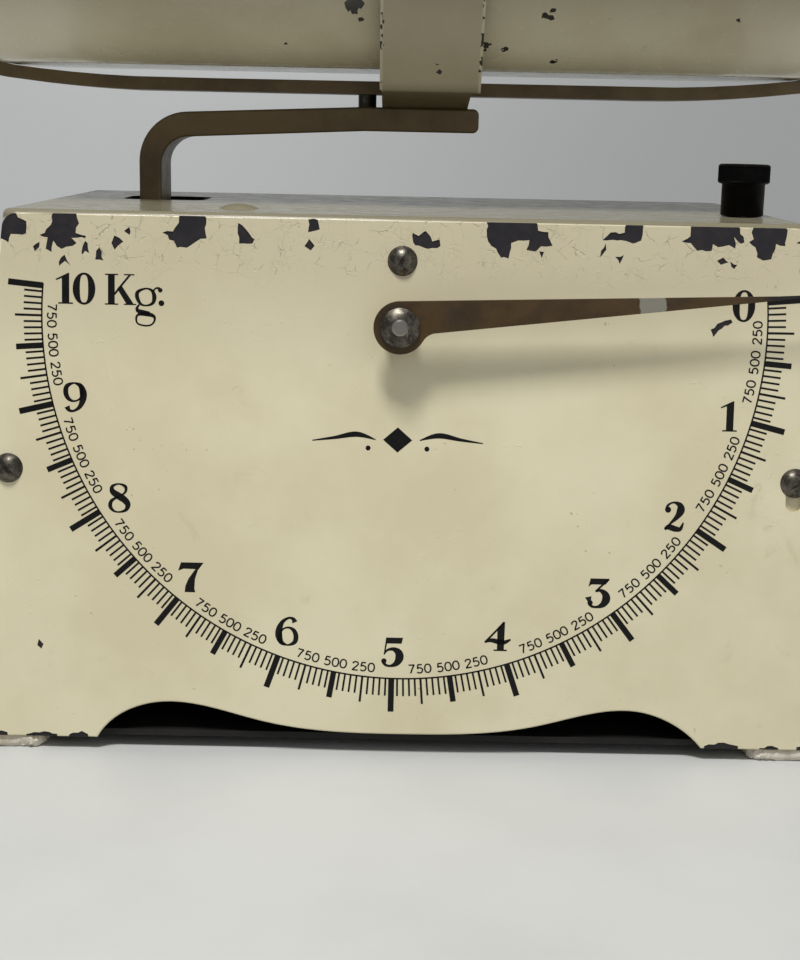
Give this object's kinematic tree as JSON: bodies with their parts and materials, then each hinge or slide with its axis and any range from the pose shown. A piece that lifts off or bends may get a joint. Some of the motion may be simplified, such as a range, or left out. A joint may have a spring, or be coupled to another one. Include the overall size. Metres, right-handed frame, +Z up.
{
  "type": "mechanical kitchen scale",
  "caption": "Upright spring scale with an arc dial, a long pointer and a trough-shaped enamelled pan on a strap cradle.",
  "frame": {"origin": "on the table, at the middle of the whole scale's plan", "axes": "+X to the right of the dial, along the pan; +Y from the dial to the back; +Z up"},
  "size_m": [0.386, 0.1949, 0.2828],
  "materials": {
    "enamel_body": "gloss",
    "enamel_dial": "satin",
    "enamel_pan": "gloss",
    "enamel_arm": "satin",
    "blackened_steel": "satin",
    "black_paint": "satin",
    "felt": "matte",
    "plain_steel": "satin",
    "brass": "satin",
    "pointer_bronze": "satin"
  },
  "bodies": {
    "frame": {"housing": "enamel_body", "dial_plate": "enamel_dial", "dial_screw_top": "blackened_steel", "dial_screw_left": "blackened_steel", "dial_screw_right": "blackened_steel", "base_plate": "black_paint", "base_screw_left_front": "blackened_steel", "base_screw_left_back": "blackened_steel", "base_screw_right_front": "blackened_steel", "base_screw_right_back": "blackened_steel", "foot_front_left": "felt", "foot_front_right": "felt", "foot_back_left": "felt", "foot_back_right": "felt", "top_button": "enamel_body", "movement_frame": "plain_steel", "front_bush": "brass", "back_bush": "brass", "rack_guide": "brass", "link_bracket": "plain_steel", "bracket_bolts": "plain_steel", "lower_frame_pin": "plain_steel", "upper_frame_pin": "plain_steel", "lever_pin": "plain_steel", "spring_front": "plain_steel", "spring_back": "plain_steel", "zero_bush": "brass"},
    "lower_link": {"lower_link": "plain_steel", "lower_load_pin": "plain_steel", "lower_spring_pin": "plain_steel"},
    "upper_link": {"upper_link": "plain_steel", "upper_load_pin": "plain_steel"},
    "load_arm": {"load_arm": "enamel_arm", "rack_driver": "plain_steel", "cross_strap": "enamel_arm", "strap_spacer": "plain_steel", "long_strap": "enamel_arm", "strap_stud": "blackened_steel", "strap_screws": "blackened_steel"},
    "pan": {"pan": "enamel_pan"},
    "pointer": {"pointer_shaft": "plain_steel", "pinion": "brass", "pointer": "pointer_bronze", "hub_boss": "brass", "spanner_nut": "blackened_steel"},
    "rack": {"rack": "plain_steel"},
    "zero_knob": {"zero_knob": "blackened_steel", "zero_screw": "plain_steel"},
    "zero_nut": {"zero_nut": "brass"},
    "zero_lever": {"zero_lever": "plain_steel", "upper_spring_pin": "plain_steel"}
  },
  "joints": [
    {"name": "link_swing", "type": "hinge", "parent": "frame", "child": "lower_link", "pos_m": [0.06, 0.0195, 0.045], "axis": [0, -1, 0], "range_deg": [0, 7.92], "stiffness_Nm_per_rad": 110, "springref_deg": -2.01, "deforming": ["spring_front", "spring_back"]},
    {"name": "upper_link_swing", "type": "hinge", "parent": "frame", "child": "upper_link", "pos_m": [0.06, 0.0195, 0.125], "axis": [0, -1, 0], "range_deg": [0, 7.92]},
    {"name": "arm_upright", "type": "hinge", "parent": "lower_link", "child": "load_arm", "pos_m": [-0.0912, 0.0195, 0.045], "axis": [0, -1, 0], "range_deg": [-7.92, 0]},
    {"name": "pointer_turn", "type": "hinge", "parent": "frame", "child": "pointer", "pos_m": [0, -0.08098, 0.137], "axis": [0, 0.9949, -0.1012], "range_deg": [0, 191]},
    {"name": "rack_slide", "type": "slide", "parent": "frame", "child": "rack", "axis": [0, -0.1012, -0.9949], "range_m": [0, 0.0212]},
    {"name": "pan_lift", "type": "slide", "parent": "load_arm", "child": "pan", "axis": [0, 0, 1], "range_m": [0, 0.06]},
    {"name": "knob_turn", "type": "hinge", "parent": "frame", "child": "zero_knob", "pos_m": [0.115, -0.0345, 0.1712], "axis": [0, 0, 1], "range_deg": [-720, 720]},
    {"name": "nut_travel", "type": "slide", "parent": "frame", "child": "zero_nut", "axis": [0, 0, -1], "range_m": [-0.0021, 0.0021]},
    {"name": "lever_tip", "type": "hinge", "parent": "frame", "child": "zero_lever", "pos_m": [0.06, 0.0195, 0.148], "axis": [0, 1, 0], "range_deg": [-2.2, 2.2]}
  ],
  "couplings": [
    {"joint": "upper_link_swing", "follows": "link_swing", "ratio": 1},
    {"joint": "arm_upright", "follows": "link_swing", "ratio": -1},
    {"joint": "pointer_turn", "follows": "link_swing", "ratio": 24},
    {"joint": "rack_slide", "follows": "link_swing", "m_per_rad": 0.1512},
    {"joint": "nut_travel", "follows": "knob_turn", "m_per_rad": 0.00015915},
    {"joint": "lever_tip", "follows": "knob_turn", "ratio": 0.0028937}
  ]
}
